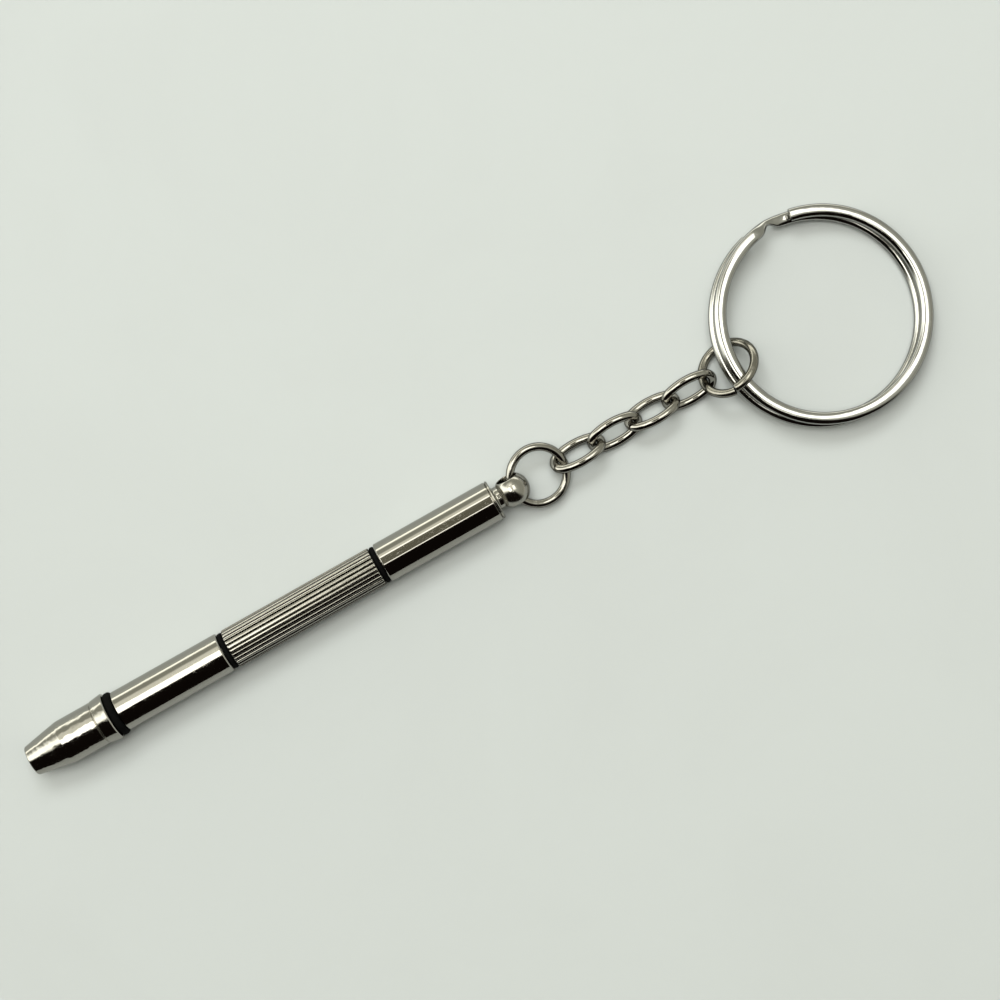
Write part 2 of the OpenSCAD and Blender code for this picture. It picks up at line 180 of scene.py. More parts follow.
def turned(rows, columns=192, loop=False):
    # (station, radius) or (station, radius, columns), the radius a number or a function of the turn
    rings = [ringRow(row[0], row[1], row[2] if len(row) > 2 else columns) for row in rows]
    runs = runsAlong([Vector((ring[0].x, ring[0].yz.length)) for ring in rings])
    widest = max(p.yz.length for ring in rings for p in ring)
    return skin(rings, runs, 2 * pi * widest, loop=loop)


def arcStations(centre, radius, start, end, steps):
    # stations (middle, out, up, scale) along a flat arc between two angles
    stations = []
    for k in range(steps + 1):
        turn = radians(start + (end - start) * k / steps)
        out = Vector((cos(turn), sin(turn), 0))
        stations.append((centre + out * radius, out, upward, 1.0))
    return stations


def easedEnds(stations, wire, ease=0.07):
    # the cut ends of a wire get a small bevel, in steps along and inward
    for end, beside in ((0, 1), (-1, -2)):
        middle, out, up, scale = stations[end]
        toward = (stations[beside][0] - middle).normalized() * ease
        soft = []
        for along, inward in ((1.6, 0.0), (1.0, 0.0), (0.3, 0.6), (0.0, 2.0)):
            soft.append((middle + toward * along, out, up, 1 - inward * ease / wire))
        if end == 0:
            stations[0:1] = list(reversed(soft))
        else:
            stations[-1:] = soft
    return stations


def swept(stations, section, girth, loop=False):
    # the section is (out, up) pairs; a scale may be one number or (wide, tall)
    rings = []
    for middle, out, up, scale in stations:
        wide, tall = scale if isinstance(scale, tuple) else (scale, scale)
        rings.append([middle + out * (a * wide) + up * (b * tall) for a, b in section])
    runs = runsAlong([station[0] for station in stations])
    return skin(rings, runs, girth, loop=loop, caps=not loop)


def roundWire(stations, wire, loop=False, count=28):
    turns = [2 * pi * k / count for k in range(count)]
    section = [(wire / 2 * cos(turn), wire / 2 * sin(turn)) for turn in turns]
    return swept(stations, section, pi * wire, loop=loop)


def place(name, mesh, matrix, body, node, material):
    mesh.name = name
    mesh.transform(matrix)
    piece = bpy.data.objects.new(name, mesh)
    bpy.context.scene.collection.objects.link(piece)
    piece.data.materials.append(material)
    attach(piece, body)
    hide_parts(node)


# Node helpers
def feed(tree, socket, value):
    if isinstance(value, bpy.types.NodeSocket):
        tree.links.new(value, socket)
    else:
        socket.default_value = value


def addNode(tree, kind, values=None, **settings):
    made = tree.nodes.new(kind)
    for key, value in settings.items():
        setattr(made, key, value)
    for key, value in (values or {}).items():
        feed(tree, made.inputs[key], value)
    return made


def maths(tree, operation, a, b=0.0, c=0.0):
    return addNode(tree, "ShaderNodeMath", {0: a, 1: b, 2: c}, operation=operation).outputs[0]


def times(tree, a, b):
    return maths(tree, "MULTIPLY", a, b)


def vectorTimes(tree, a, b):
    return addNode(tree, "ShaderNodeVectorMath", {0: a, 1: b}, operation="MULTIPLY").outputs[0]


def noise(tree, spot, scale, detail, **more):
    values = {"Vector": spot, "Scale": scale, "Detail": detail, **more}
    return addNode(tree, "ShaderNodeTexNoise", values).outputs["Fac"]


def blendColours(tree, share, a, b):
    made = addNode(tree, "ShaderNodeMix", {"Factor": share}, data_type="RGBA")
    for socket, value in ((made.inputs[6], a), (made.inputs[7], b)):
        feed(tree, socket, (*value, 1) if isinstance(value, tuple) else value)
    return made.outputs[2]


def spread(tree, value, low, high, toLow=0.0, toHigh=1.0):
    return addNode(tree, "ShaderNodeMapRange", {
        "Value": value, "From Min": low, "From Max": high, "To Min": toLow, "To Max": toHigh,
    }).outputs[0]


# Shared effects
def newGroup(name, inputs, output):
    tree = bpy.data.node_groups.new(name, "ShaderNodeTree")
    for title, kind, value in inputs:
        socket = tree.interface.new_socket(name=title, in_out="INPUT", socket_type="NodeSocket" + kind)
        if value is not None:
            socket.default_value = value
    tree.interface.new_socket(name=output, in_out="OUTPUT", socket_type="NodeSocketFloat")
    return tree, tree.nodes.new("NodeGroupInput").outputs, tree.nodes.new("NodeGroupOutput").inputs


def makeHairlines():
    # fine drawn or brushed lines: stretched noise over the run of the surface
    inputs = [("Run", "Vector", None), ("Along", "Float", 0.2), ("Around", "Float", 14.0)]
    tree, given, out = newGroup("hairlines", inputs, "Line")
    stretch = addNode(tree, "ShaderNodeCombineXYZ", {"X": given["Along"], "Y": given["Around"], "Z": 1.0})
    run = vectorTimes(tree, given["Run"], stretch.outputs[0])
    fine = noise(tree, run, scale=1.0, detail=4.0, Roughness=0.7)
    tree.links.new(spread(tree, fine, low=0.3, high=0.7), out["Line"])
    return tree


def makeScratches():
    # sparse thin handling scratches in three directions, each (turn, axis, length)
    inputs = [("Place", "Vector", None), ("Size", "Float", 1.0), ("Thin", "Float", 0.03)]
    tree, given, out = newGroup("handlingScratches", inputs, "Scratch")
    total = None
    ways = ((0.5, (0.4, 0.5, 0.8), 7.0), (2.3, (0.4, 0.1, 0.8), 9.0), (4.0, (0.4, -0.3, 0.8), 6.0))
    for turn, axis, long in ways:
        swung = addNode(tree, "ShaderNodeVectorRotate", {
            "Vector": given["Place"], "Angle": turn, "Axis": axis,
        }).outputs[0]
        flat = vectorTimes(tree, swung, (1.0 / long, 1.4, 1.4))
        streaks = noise(tree, flat, scale=given["Size"], detail=1.0)
        near = maths(tree, "ABSOLUTE", maths(tree, "SUBTRACT", streaks, 0.5))
        thin = spread(tree, near, low=0.0, high=given["Thin"], toLow=1.0, toHigh=0.0)
        keep = spread(tree, noise(tree, swung, scale=0.6, detail=1.0), low=0.52, high=0.66)
        thin = times(tree, thin, keep)
        total = thin if total is None else maths(tree, "MAXIMUM", total, thin)
    tree.links.new(total, out["Scratch"])
    return tree


def makeRipple():
    # the soft waviness of plating over a turned surface
    tree, given, out = newGroup("platingRipple", [("Place", "Vector", None), ("Size", "Float", 0.8)], "Wave")
    wave = noise(tree, given["Place"], scale=given["Size"], detail=1.5, Roughness=0.4)
    tree.links.new(wave, out["Wave"])
    return tree


def makeSmudges():
    # breath, fingerprints and haze as broad uneven patches
    tree, given, out = newGroup("smudges", [("Place", "Vector", None), ("Size", "Float", 0.3)], "Haze")
    broad = noise(tree, given["Place"], scale=given["Size"], detail=5.0, Roughness=0.6, Distortion=0.6)
    tree.links.new(spread(tree, broad, low=0.42, high=0.72), out["Haze"])
    return tree


def makeEdgeRub():
    # edges that handling has rubbed bright
    tree, given, out = newGroup("edgeRub", [("Place", "Vector", None)], "Rub")
    sharp = addNode(tree, "ShaderNodeNewGeometry").outputs["Pointiness"]
    patchy = noise(tree, given["Place"], scale=1.5, detail=3.0)
    patchy = spread(tree, patchy, low=0.3, high=0.6, toLow=0.2)
    tree.links.new(times(tree, spread(tree, sharp, low=0.52, high=0.6), patchy), out["Rub"])
    return tree


groups = dict(
    hairlines=makeHairlines(), scratches=makeScratches(), ripple=makeRipple(), smudges=makeSmudges(),
    edgeRub=makeEdgeRub(),
)


def useGroup(tree, name, values):
    return addNode(tree, "ShaderNodeGroup", values, node_tree=groups[name]).outputs[0]


# Materials
def newMaterial(name):
    material = bpy.data.materials.new(name)
    material.use_nodes = True
    tree = material.node_tree
    spot = addNode(tree, "ShaderNodeTexCoord").outputs["Object"]
    return material, tree, tree.nodes["Principled BSDF"], vectorTimes(tree, spot, (1 / mm, 1 / mm, 1 / mm))


plating = dict(hazeShare=0.6, rubShare=0.7)


def plated(name, look):
    # plated or polished metal: base and haze tints, roughness, lines, scratches, ripple
    material, tree, shader, spot = newMaterial(name)
    run = addNode(tree, "ShaderNodeUVMap", uv_map="run").outputs[0]
    line = useGroup(tree, "hairlines", {"Run": run, "Along": look["along"], "Around": look["around"]})
    marks = useGroup(tree, "scratches", {"Place": spot, "Size": look["scratchSize"]})
    wave = useGroup(tree, "ripple", {"Place": spot, "Size": look["rippleSize"]})
    haze = useGroup(tree, "smudges", {"Place": spot, "Size": look["hazeSize"]})
    rub = useGroup(tree, "edgeRub", {"Place": spot})
    tint = blendColours(tree, times(tree, haze, plating["hazeShare"]), look["colour"], look["hazeColour"])
    tint = blendColours(tree, times(tree, line, look["lineTint"]), tint, look["lineColour"])
    tint = blendColours(tree, times(tree, rub, plating["rubShare"]), tint, look["rubColour"])
    if "paintedFluteShade" in look:
        # painted shade that darkens the flutes by their depth
        deep = addNode(tree, "ShaderNodeAttribute", attribute_name="paintedFluteShade").outputs["Fac"]
        tint = blendColours(tree, deep, tint, look["paintedFluteShade"])
    tree.links.new(tint, shader.inputs["Base Color"])
    rough = maths(tree, "MULTIPLY_ADD", haze, look["hazeRough"], look["rough"])
    rough = maths(tree, "MULTIPLY_ADD", line, look["lineRough"], rough)
    rough = maths(tree, "MULTIPLY_ADD", marks, look["markRough"], rough)
    tree.links.new(rough, shader.inputs["Roughness"])
    height = times(tree, line, look["lineDeep"])
    height = maths(tree, "MULTIPLY_ADD", marks, -look["scratchDeep"], height)
    height = maths(tree, "MULTIPLY_ADD", wave, look["rippleDeep"], height)
    bump = addNode(tree, "ShaderNodeBump", {"Height": height, "Strength": 1.0, "Distance": mm})
    tree.links.new(bump.outputs[0], shader.inputs["Normal"])
    shader.inputs["Metallic"].default_value = 1.0
    # painted shade: a dark edge tint darkens the metal where it turns away from view
    shader.inputs["Specular Tint"].default_value = (look["edge"], look["edge"], look["edge"], 1)
    return material


def rubber(name, look):
    # matt moulded rubber with fine grain and a grey bloom
    material, tree, shader, spot = newMaterial(name)
    grain = noise(tree, spot, scale=look["grainSize"], detail=4.0)
    haze = useGroup(tree, "smudges", {"Place": spot, "Size": look["hazeSize"]})
    tint = blendColours(tree, times(tree, haze, look["bloomShare"]), look["colour"], look["bloom"])
    tree.links.new(tint, shader.inputs["Base Color"])
    rough = maths(tree, "MULTIPLY_ADD", grain, look["grainRough"], look["rough"])
    tree.links.new(rough, shader.inputs["Roughness"])
    bump = addNode(tree, "ShaderNodeBump", {
        "Height": grain, "Strength": 0.5, "Distance": look["grainDeep"],
    })
    tree.links.new(bump.outputs[0], shader.inputs["Normal"])
    shader.inputs["Specular IOR Level"].default_value = look["shine"]
    return material


nickelTone = dict(
    colour=(0.49, 0.475, 0.435), hazeColour=(0.45, 0.435, 0.395), lineColour=(0.36, 0.345, 0.31),
    rubColour=(0.62, 0.61, 0.58), markRough=0.1, edge=0.9,
)
polishedNickel = plated("polishedNickel", dict(
    nickelTone, rough=0.05, hazeRough=0.05, hazeSize=0.35, rippleSize=0.9, rippleDeep=0.012,
    lineRough=0.03, lineTint=0.05, lineDeep=0.0002, along=18.0, around=0.08,
    scratchSize=1.3, scratchDeep=0.001,
))
noseNickel = plated("noseNickel", dict(
    nickelTone, rough=0.06, hazeRough=0.06, hazeSize=0.4, rippleSize=1.1, rippleDeep=0.05,
    lineRough=0.03, lineTint=0.08, lineDeep=0.0003, along=14.0, around=0.1,
    scratchSize=1.3, scratchDeep=0.0015,
))
satinNickel = plated("satinNickel", dict(
    nickelTone, rough=0.045, hazeRough=0.015, hazeSize=0.3, rippleSize=0.5, rippleDeep=0.002,
    lineRough=0.02, lineTint=0.25, lineDeep=0.0001, along=0.05, around=9.0,
    scratchSize=0.9, scratchDeep=0.00005,
))
gripNickel = plated("gripNickel", dict(
    # the hollow colour is painted shade for the flute bottoms
    nickelTone, edge=0.4, paintedFluteShade=(0.02, 0.018, 0.014),
    rough=0.1, hazeRough=0.04, hazeSize=0.3, rippleSize=0.6, rippleDeep=0.004,
    lineRough=0.04, lineTint=0.2, lineDeep=0.0004, along=0.12, around=16.0,
    scratchSize=1.2, scratchDeep=0.0004,
))
ballNickel = plated("ballNickel", dict(
    nickelTone, edge=0.6, rough=0.13, hazeRough=0.06, hazeSize=0.6, rippleSize=1.0, rippleDeep=0.012,
    lineRough=0.02, lineTint=0.06, lineDeep=0.0002, along=10.0, around=0.2,
    scratchSize=1.6, scratchDeep=0.001,
))
wireTone = dict(
    # the wires' low edge tint is painted shade on their rims
    nickelTone, edge=0.12, colour=(0.44, 0.425, 0.39), hazeColour=(0.37, 0.355, 0.32),
    lineColour=(0.28, 0.27, 0.24), along=0.25, around=12.0, scratchSize=1.6, rippleSize=1.2, rippleDeep=0.012,
)
wireNickel = plated("wireNickel", dict(
    wireTone, rough=0.035, hazeRough=0.025, hazeSize=0.6,
    lineRough=0.03, lineTint=0.25, lineDeep=0.0007, scratchDeep=0.001,
))
# a darker, rougher copy of the wire nickel: the roughness is its satin finish, and the darker colour is
# partly the ring's own satin tone and partly painted shade on its tilted faces
endNickel = plated("endNickel", dict(
    wireTone, colour=(0.34, 0.325, 0.285), hazeColour=(0.29, 0.275, 0.24),
    rough=0.13, hazeRough=0.08, hazeSize=0.7,
    lineRough=0.05, lineTint=0.3, lineDeep=0.0008, scratchDeep=0.0015,
))
ringSteel = plated("ringSteel", dict(
    nickelTone, edge=0.5, colour=(0.51, 0.508, 0.49), hazeColour=(0.46, 0.458, 0.44),
    rough=0.06, hazeRough=0.04, hazeSize=0.4, rippleSize=0.7, rippleDeep=0.012,
    lineRough=0.03, lineTint=0.12, lineDeep=0.0005, along=0.1, around=9.0,
    scratchSize=1.2, scratchDeep=0.001,
))
toolSteel = plated("toolSteel", dict(
    colour=(0.42, 0.42, 0.43), hazeColour=(0.33, 0.33, 0.34), lineColour=(0.24, 0.24, 0.25),
    rubColour=(0.62, 0.62, 0.63), markRough=0.15, edge=0.9,
    rough=0.24, hazeRough=0.12, hazeSize=0.7, rippleSize=1.0, rippleDeep=0.01,
    lineRough=0.1, lineTint=0.35, lineDeep=0.002, along=9.0, around=0.2,
    scratchSize=2.0, scratchDeep=0.002,
))
blackRubber = rubber("blackRubber", dict(
    colour=(0.003, 0.003, 0.003), bloom=(0.006, 0.006, 0.006), bloomShare=0.5, hazeSize=1.2, rough=0.6,
    grainSize=9.0, grainRough=0.2, grainDeep=0.00003, shine=0.03,
))
print("materials made")

# Nose
nose = dict(
    outline=[
        (0.0, 1.92, 0.04), (0.08, 2.0, 0.05), (4.85, 2.9, 0.8), (9.67, 2.9, 0.04), (9.8, 2.77, 0.05),
        (9.93, 2.975, 0.05), (11.46, 3.175, 0.06), (11.6, 3.035, 0.05), (11.6, 1.9, 0.03),
    ],
    lip=1.9, boreBack=11.45, threadBack=11.44, threadFront=7.6, boreEnd=7.5, boreFront=7.2, pilot=1.1,
    flats=2.5, socketDepth=4.0, mouth=1.5, mouthRows=(0.5, 0.26, 0.2, 0.15, 0.1, 0.05, 0.02, 0.0),
)


def hexRadius(turn, least=0.0):
    side = (turn + pi / 6) % (pi / 3) - pi / 6
    return max(nose["flats"] / 2 / cos(side), least)


def makeNose():
    bore, front, pilot = screw["radius"] + screw["fit"], nose["boreFront"], nose["pilot"]
    rows = [(0.0, nose["lip"])] + easedOutline(nose["outline"] + [(nose["boreBack"], bore, 0)])
    rows += threadRows(nose["threadBack"], nose["threadFront"], bore)
    rows += easedOutline([
        (nose["boreEnd"], bore, 0), (front, bore, 0.05), (front, pilot, 0.05),
        (nose["socketDepth"], pilot, 0),
    ])
    rows.append((nose["socketDepth"], hexRadius))
    for x in nose["mouthRows"]:
        rows.append((x, lambda turn, x=x: hexRadius(turn, nose["mouth"] - x)))
    return turned(rows, loop=True)


place("noseCone", makeNose(), onTool, "nose", "nose", noseNickel)


# O rings
seals = dict(
    noseORing=dict(node="nose_o_ring", start=11.63, outer=2.93, width=1.0),
    frontORing=dict(node="front_o_ring", start=27.89, outer=2.45, width=0.7),
    rearORing=dict(node="rear_o_ring", start=49.90, outer=2.5, width=0.65),
)
sealShape = dict(fit=0.03, rounding=0.46, columns=144)


def makeSeal(seal):
    inner, outer = screw["radius"] + sealShape["fit"], seal["outer"]
    a, b = seal["start"], seal["start"] + seal["width"]
    ease = sealShape["rounding"] * min(seal["width"], outer - inner)
    outline = [(a, inner, ease), (b, inner, ease), (b, outer, ease), (a, outer, ease)]
    return turned(easedOutline(outline, loop=True), columns=sealShape["columns"], loop=True)


for title, seal in seals.items():
    place(title, makeSeal(seal), onTool, seal["node"], seal["node"], blackRubber)

# Barrels
barrel = dict(
    radius=2.65, bevel=0.14, threadIn=0.16, chamber=1.2985,
    spigotFront=7.6, spigotFull=7.9, spigotThread=(7.92, 12.0), spigotBack=12.1,
    frontStart=12.66, frontEnd=27.86, frontThreadEnd=22.8, frontBoreEnd=22.7, frontBore=22.46,
    frontFloor=13.76,
    rearStart=50.58, rearEnd=66.68, rearThreadEnd=55.6, rearBoreEnd=55.7, rearBore=55.98,
    plugFloor=63.67, plugBore=1.6,
)


def makeFrontBarrel():
    r, core, bore = barrel["radius"], screw["radius"], screw["radius"] + screw["fit"]
    a, b, bevel, chamber = barrel["frontStart"], barrel["frontEnd"], barrel["bevel"], barrel["chamber"]
    tip, shoulder, floor = barrel["spigotFront"], barrel["frontBore"], barrel["frontFloor"]
    rows = easedOutline([(tip, 0, 0), (tip, core - screw["taper"], 0.05), (barrel["spigotFull"], core, 0)])
    rows += threadRows(*barrel["spigotThread"], core)
    rows += easedOutline([
        (barrel["spigotBack"], core, 0), (a, core, 0.03), (a, r - bevel, 0.05), (a + bevel, r, 0.08),
        (b - bevel, r, 0.08), (b, r - bevel, 0.05), (b, bore + bevel, 0.03), (b - bevel, bore, 0),
    ])
    rows += threadRows(b - barrel["threadIn"], barrel["frontThreadEnd"], bore)
    rows += easedOutline([
        (barrel["frontBoreEnd"], bore, 0), (shoulder, bore, 0.05), (shoulder, chamber, 0.05),
        (floor, chamber, 0.1), (floor, 0, 0),
    ])
    return turned(rows)


def makeRearBarrel():
    r, bore, plug = barrel["radius"], screw["radius"] + screw["fit"], barrel["plugBore"]
    a, b, bevel, chamber = barrel["rearStart"], barrel["rearEnd"], barrel["bevel"], barrel["chamber"]
    shoulder, floor = barrel["rearBore"], barrel["plugFloor"]
    rows = easedOutline([
        (a + bevel, bore, 0), (a, bore + bevel, 0.03), (a, r - bevel, 0.05), (a + bevel, r, 0.08),
        (b - bevel, r, 0.05), (b, r - bevel, 0.04), (b, plug, 0.02), (floor, plug, 0.02),
        (floor, chamber, 0.04), (shoulder, chamber, 0.04), (shoulder, bore, 0.05),
        (barrel["rearBoreEnd"], bore, 0),
    ])
    return turned(rows + threadRows(barrel["rearThreadEnd"], a + barrel["threadIn"], bore), loop=True)


place(
    "frontBarrel", makeFrontBarrel(), onTool, "front_barrel", "front_barrel",
    polishedNickel,
)
place("rearBarrel", makeRearBarrel(), onTool, "rear_barrel", "rear_barrel", satinNickel)
print("nose, O rings and barrels made")

# Grip
grip = dict(
    start=28.62, end=49.87, radius=2.6, bevel=0.24, bevelSteps=6, support=0.06, spans=8, shoulder=0.3,
    # the last two settings on the next line set where the painted flute shade starts and how fast it deepens
    flutes=26, fluteAt=2.6, fluteRadius=0.13, blend=0.03, crown=0.02, fluteShadeDepth=0.05, fluteShadeFrom=1.0,
    columns=104, fluteColumns=520, hole=0.91,
    frontTip=22.86, frontFull=23.16, frontThread=(23.18, 27.9), frontBack=28.0, frontFloor=30.36,
    rearNeck=0.6, rearThreadIn=0.7, rearThreadEnd=55.26, rearFull=55.28, rearTip=55.58, rearFloor=48.08,
)


def flutedRadius(turn, outer):
    # round-bottomed flutes with a crowned land between them
    period = 2 * pi / grip["flutes"]
    off = (turn - pi / 2 + period / 2) % period - period / 2
    side = grip["fluteAt"] * sin(off)
    reach = grip["fluteRadius"]
    edge = asin(reach / grip["fluteAt"])
    fall = min(1, (period / 2 - abs(off)) / (period / 2 - edge))
    outer -= grip["crown"] * fall * fall
    if abs(side) >= reach:
        return outer
    floor = grip["fluteAt"] * cos(off) - sqrt(reach * reach - side * side)
    gap = max(0.0, 1 - abs(outer - floor) / grip["blend"])
    return min(outer, floor) - gap * gap * grip["blend"] / 4


def makeGrip():
    core, hole, a, b = screw["radius"], grip["hole"], grip["start"], grip["end"]
    r, bevel, taper, inner = grip["radius"], grip["bevel"], core - screw["taper"], core + grip["shoulder"]
    steps, spans = grip["bevelSteps"], grip["spans"]
    tip, floor = grip["frontTip"], grip["frontFloor"]
    rows = easedOutline([
        (floor, 0, 0), (floor, hole, 0.04), (tip, hole, 0.05), (tip, taper, 0.05),
        (grip["frontFull"], core, 0),
    ])
    rows += threadRows(*grip["frontThread"], core)
    rows += easedOutline([(grip["frontBack"], core, 0), (a, core, 0.03), (a, inner, 0)])
    crest = []
    for k in range(steps, -1, -1):
        turn = pi / 2 * k / steps
        crest.append((a + bevel * (1 - sin(turn)), r - bevel * (1 - cos(turn))))
    crest.append((a + bevel + grip["support"], r))
    stations = crest + [(a + (b - a) * k / spans, r) for k in range(1, spans)]
    stations += [(a + b - x, outer) for x, outer in reversed(crest)]
    for x, outer in stations:
        rows.append((x, lambda turn, outer=outer: flutedRadius(turn, outer), grip["fluteColumns"]))
    tip, floor = grip["rearTip"], grip["rearFloor"]
    rows += easedOutline([(b, inner, 0), (b, core, 0.03), (b + grip["rearNeck"], core, 0)])
    rows += threadRows(b + grip["rearThreadIn"], grip["rearThreadEnd"], core)
    rows += easedOutline([
        (grip["rearFull"], core, 0), (tip, taper, 0.05), (tip, hole, 0.05), (floor, hole, 0.04),
        (floor, 0, 0),
    ])
    mesh = turned(rows, columns=grip["columns"])
    # painted shade: this mask darkens each flute by its depth below the lands
    paintedFluteShade = mesh.attributes.new("paintedFluteShade", "FLOAT", "POINT")
    for k, v in enumerate(mesh.vertices):
        deep = (r - v.co.yz.length) / grip["fluteShadeDepth"] - grip["fluteShadeFrom"]
        paintedFluteShade.data[k].value = min(1, max(0, deep)) if a < v.co.x < b else 0
    return mesh


place("flutedGrip", makeGrip(), onTool, "grip", "grip", gripNickel)

# Bits
bits = dict(
    radius=0.9, chamfer=0.1, columns=144,
    slottedTip=14.26, slottedRoot=30.36, bladeLen=3.6, bladeHalf=0.18, bladeRows=12, tipEase=0.03,
    sidePoints=24, nearlyRound=0.9995, faceRun=0.5, rootRun=1,
    crossTip=63.18, crossRoot=48.08, pointLen=1.5, pointEnd=0.3, fluteLen=3.0, wingHalf=0.17,
    crossLen=4.2, crossBack=4.4, crossRows=28, leastWedge=0.001,
)


def bladeRow(x, half, radius):
    # a disc cut by two flats, walked as arc, flat, arc, flat
    reach = asin(min(1, half / radius))
    side = radius * cos(reach)
    parts = [k / bits["sidePoints"] for k in range(bits["sidePoints"])]
    row = []
    for middle, sign in ((0, 1), (pi, -1)):
        for part in parts:
            turn = middle - reach + 2 * reach * part
            row.append(Vector((x, radius * cos(turn), radius * sin(turn))))
        for part in parts:
            row.append(Vector((x, sign * (side - 2 * side * part), sign * half)))
    return row


def makeSlottedBit():
    tip, root, r, thin = bits["slottedTip"], bits["slottedRoot"], bits["radius"], bits["bladeHalf"]
    ease, nearly, chamfer, count = bits["tipEase"], bits["nearlyRound"], bits["chamfer"], bits["bladeRows"]
    cuts = [(0.0, thin - ease, r - ease), (ease, thin, r)]
    for k in range(1, count + 1):
        cuts.append((bits["bladeLen"] * k / count, min(thin + (r - thin) * k / count, r * nearly), r))
    rows, runs = [[Vector((tip, 0, 0))]], [0]
    for along, half, radius in cuts:
        rows.append(bladeRow(tip + along, half, radius))
        runs.append(along + bits["faceRun"])
    for x, radius in ((root - chamfer, r), (root, r - chamfer)):
        rows.append(bladeRow(x, radius * nearly, radius))
        runs.append(x - tip)
    rows.append([Vector((root, 0, 0))])
    runs.append(root - tip + bits["rootRun"])
    return skin(rows, runs, 2 * pi * r)


def makeCrossBit():
    tip, root, r, chamfer = bits["crossTip"], bits["crossRoot"], bits["radius"], bits["chamfer"]
    reach, count = bits["crossLen"], bits["crossRows"]
    slope = (r - bits["wingHalf"]) / bits["fluteLen"]

    def crossRadius(turn, x, outer):
        off = abs((turn + pi / 2) % (pi / 2) - pi / 4)
        apex = bits["wingHalf"] + (tip - x) * slope
        wedge = cos(off) - sin(off)
        return min(outer, apex / wedge) if wedge > bits["leastWedge"] else outer

    rows = [(root, 0), (root, r - chamfer), (root + chamfer, r), (tip - bits["crossBack"], r)]
    for k in range(count + 1):
        x = tip - reach + reach * k / count
        outer = min(r, bits["pointEnd"] + (r - bits["pointEnd"]) * (tip - x) / bits["pointLen"])
        rows.append((x, lambda turn, x=x, outer=outer: crossRadius(turn, x, outer)))
    rows.append((tip, 0))
    return turned(rows, columns=bits["columns"])


place("slottedBit", makeSlottedBit(), onTool, "grip", "slotted_bit", toolSteel)
place("crossBit", makeCrossBit(), onTool, "grip", "phillips_bit", toolSteel)
print("grip and bits made")

# Ball stud
stud = dict(
    plugFront=63.68, plug=1.59, rearEnd=66.68, flangeEnd=67.03, flangeBevel=0.12, neck=1.45, neckIn=1.48,
    ballAt=69.43, ball=2.25, hole=1.375, rim=0.16, rimDepth=0.22, roll=14,
    ballSteps=48, rimSteps=8, columns=144,
)


def makeStem():
    front, plug, neck, bevel = stud["plugFront"], stud["plug"], stud["neck"], stud["flangeBevel"]
    a, b, back = stud["rearEnd"], stud["flangeEnd"], stud["ballAt"] - stud["neckIn"]
    r, face = barrel["radius"], barrel["radius"] - barrel["bevel"]
    return turned(easedOutline([
        (front, 0, 0), (front, plug, 0.1), (a, plug, 0.02), (a, face, 0.04), (a + bevel, r, 0.08),
        (b - bevel, r, 0.08), (b, face, 0.06), (b, neck, 0.25), (back, neck, 0.02), (back, 0, 0),
    ]), columns=stud["columns"])


def makeBall():
    # turned about its own hole, which leans over with the jump ring
    r, hole, steps, rimSteps = stud["ball"], stud["hole"], stud["ballSteps"], stud["rimSteps"]
    first = asin(hole / r) + stud["rim"] / r
    turns = [first + (pi - 2 * first) * k / steps for k in range(steps + 1)]
    outline = [(-r * cos(turn), r * sin(turn)) for turn in turns]
    mouth = sqrt(r ** 2 - hole ** 2)
    for end in (1, -1):
        p0 = Vector((end * abs(outline[0][0]), outline[0][1]))
        p1, p2 = Vector((end * mouth, hole)), Vector((end * (mouth - stud["rimDepth"]), hole))
        arc = []
        for k in range(1, rimSteps + 1):
            s = k / rimSteps
            arc.append(tuple(p0 * (1 - s) ** 2 + p1 * (2 * s * (1 - s)) + p2 * s * s))
        outline += arc if end > 0 else list(reversed(arc))
    ball = turned(outline, columns=stud["columns"], loop=True)
    ball.transform(shift(x=stud["ballAt"]) @ spin(stud["roll"], "X") @ spin(90, "Z"))
    return ball


def makeBallStud():
    stemPiece = bpy.data.objects.new("stem", makeStem())
    ballPiece = bpy.data.objects.new("ball", makeBall())
    for piece in (stemPiece, ballPiece):
        bpy.context.scene.collection.objects.link(piece)
    join = stemPiece.modifiers.new("join", "BOOLEAN")
    join.operation, join.solver, join.object = "UNION", "EXACT", ballPiece
    bpy.context.view_layer.update()
    whole = bpy.data.meshes.new_from_object(stemPiece.evaluated_get(bpy.context.evaluated_depsgraph_get()))
    for piece in (stemPiece, ballPiece):
        bpy.data.objects.remove(piece)
    whole.set_sharp_from_angle(angle=radians(edges["sharp"]))
    return whole


place("ballStud", makeBallStud(), onTool, "rear_barrel", "ball_stud", ballNickel)
print("ball stud made")

# Jump ring
jumpRing = dict(x=69.5269, z=2.62374, drop=5.78432, roll=14, radius=3.665, wire=1.07, seam=1.876, steps=192)


def makeJumpRing():
    r, wire, half = jumpRing["radius"], jumpRing["wire"], jumpRing["seam"] / 2
    stations = arcStations(Vector((r, 0, 0)), r, 180 + half, 540 - half, jumpRing["steps"])
    return roundWire(easedEnds(stations, wire), wire)


jumpPlace = (
    inRow @ shift(x=jumpRing["x"], z=jumpRing["z"])
    @ spin(jumpRing["drop"], "Y") @ spin(jumpRing["roll"], "X")
)
place("jumpRing", makeJumpRing(), jumpPlace, "jump_ring", "jump_ring", wireNickel)

# Chain links
links = dict(
    count=4, first=78.9224, pitch=5.392, z=1.88499, roll=46, wire=1.13,
    endAt=1.804, endRadius=1.507, sideAt=4.797, sideRadius=6.632, arcSteps=40,
)


